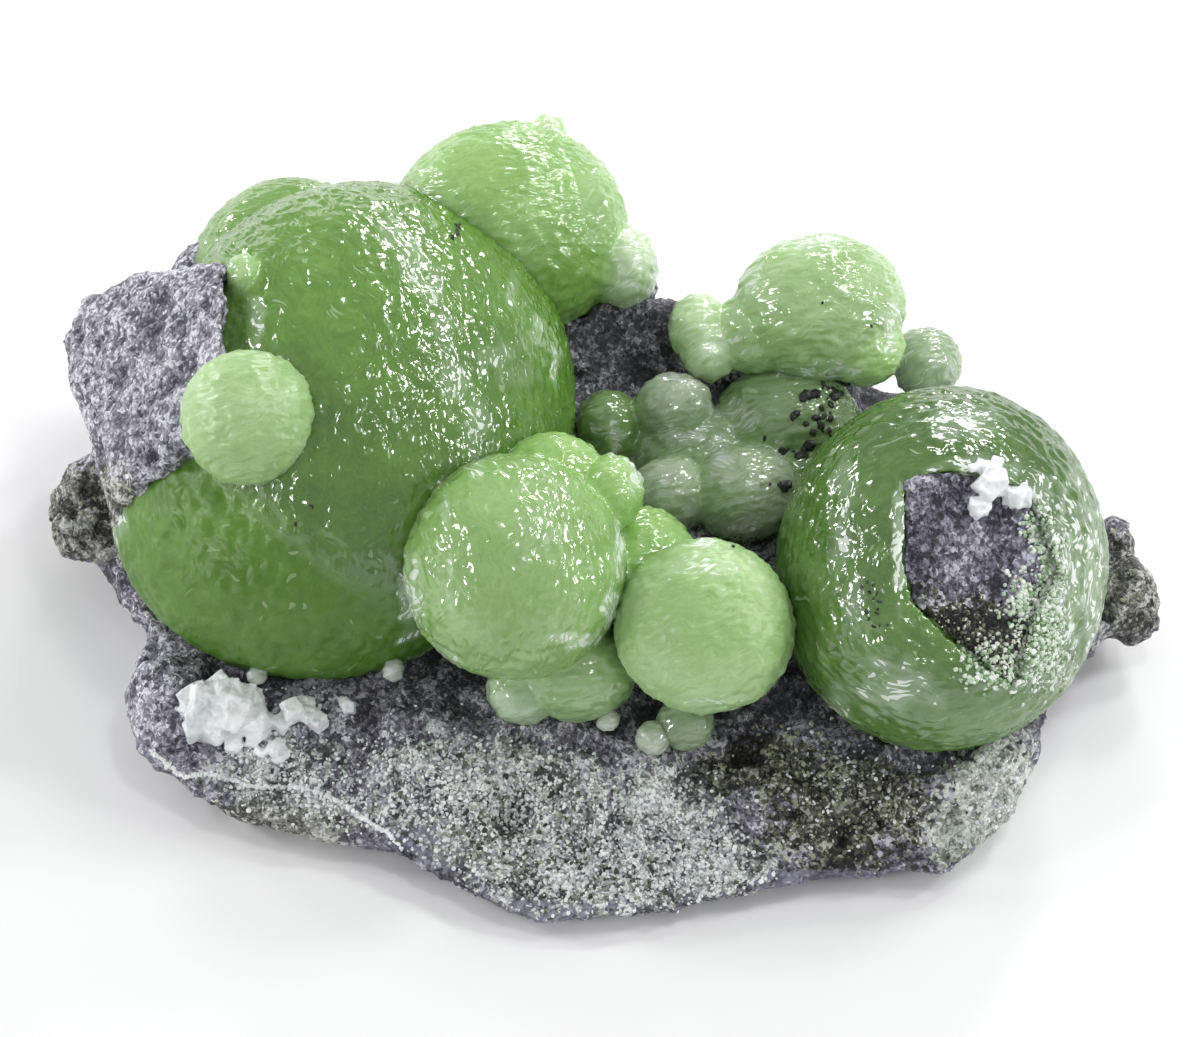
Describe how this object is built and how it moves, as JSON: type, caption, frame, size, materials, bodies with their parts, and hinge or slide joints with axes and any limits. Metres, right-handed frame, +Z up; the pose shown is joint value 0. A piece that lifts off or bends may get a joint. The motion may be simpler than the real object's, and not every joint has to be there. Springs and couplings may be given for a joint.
{
  "type": "prehnite mineral specimen",
  "caption": "Botryoidal green prehnite balls with a broken window, grown on a rough grey basalt slab with a flat underside to rest on.",
  "frame": {"origin": "middle of the bounding box, at the flat underside of the basalt", "axes": "+X along the longest side, to the viewer's right; +Y away from the viewer of the display side; +Z up, out of the flat underside"},
  "size_m": [0.1026, 0.0736, 0.0383],
  "materials": {
    "basalt": "rough broken basalt, grey with pale and olive grains",
    "deep_green_prehnite": "waxy, faintly translucent deep green with fine ridges",
    "pale_green_prehnite": "waxy, faintly translucent pale green with fine ridges",
    "glassy_prehnite": "glassy grey-green, translucent",
    "white_calcite": "milky white to clear blocky crystals"
  },
  "bodies": {
    "root": {"basalt_matrix": "basalt", "prehnite_left_mass": "deep_green_prehnite", "prehnite_front_ball": "pale_green_prehnite", "prehnite_right_ball": "deep_green_prehnite", "prehnite_middle_cluster": "glassy_prehnite", "prehnite_upper_right_pair": "pale_green_prehnite", "prehnite_glassy_nodule": "glassy_prehnite", "prehnite_ledge_nodule_large": "glassy_prehnite", "prehnite_ledge_nodule_milky": "glassy_prehnite", "prehnite_ledge_nodule_left": "glassy_prehnite", "prehnite_ledge_nodule_under_ball": "glassy_prehnite", "prehnite_ledge_nodule_far_left": "glassy_prehnite", "calcite_crystals_on_ledge": "white_calcite", "calcite_crystals_in_window": "white_calcite"}
  },
  "joints": []
}
